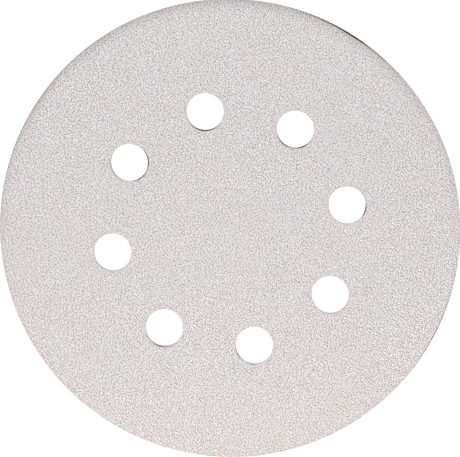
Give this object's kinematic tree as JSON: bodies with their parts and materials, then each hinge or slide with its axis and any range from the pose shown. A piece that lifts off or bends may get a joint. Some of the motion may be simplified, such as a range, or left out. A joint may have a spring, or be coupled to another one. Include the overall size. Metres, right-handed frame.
{
  "type": "hook and loop sanding disc",
  "caption": "Round abrasive disc with a ring of dust holes, a pale gritty face and a looped fabric back that grips a hook pad.",
  "frame": {"origin": "middle of the disc on the plane that the loop pile rests on", "axes": "+Z out of the abrasive face, +X through the centre of one dust hole, along the rows of pile"},
  "size_m": [0.125, 0.125, 0.0014],
  "materials": {
    "grit_coat": "matt white stearate over grey grain and resin, gritty",
    "backing_paper": "resin-soaked paper, dark along its cut edge",
    "backing_fabric": "brushed knitted loop pile"
  },
  "bodies": {
    "root": {"backing_fabric": "backing_fabric", "backing_paper": "backing_paper", "grit_coat": "grit_coat"}
  },
  "joints": []
}
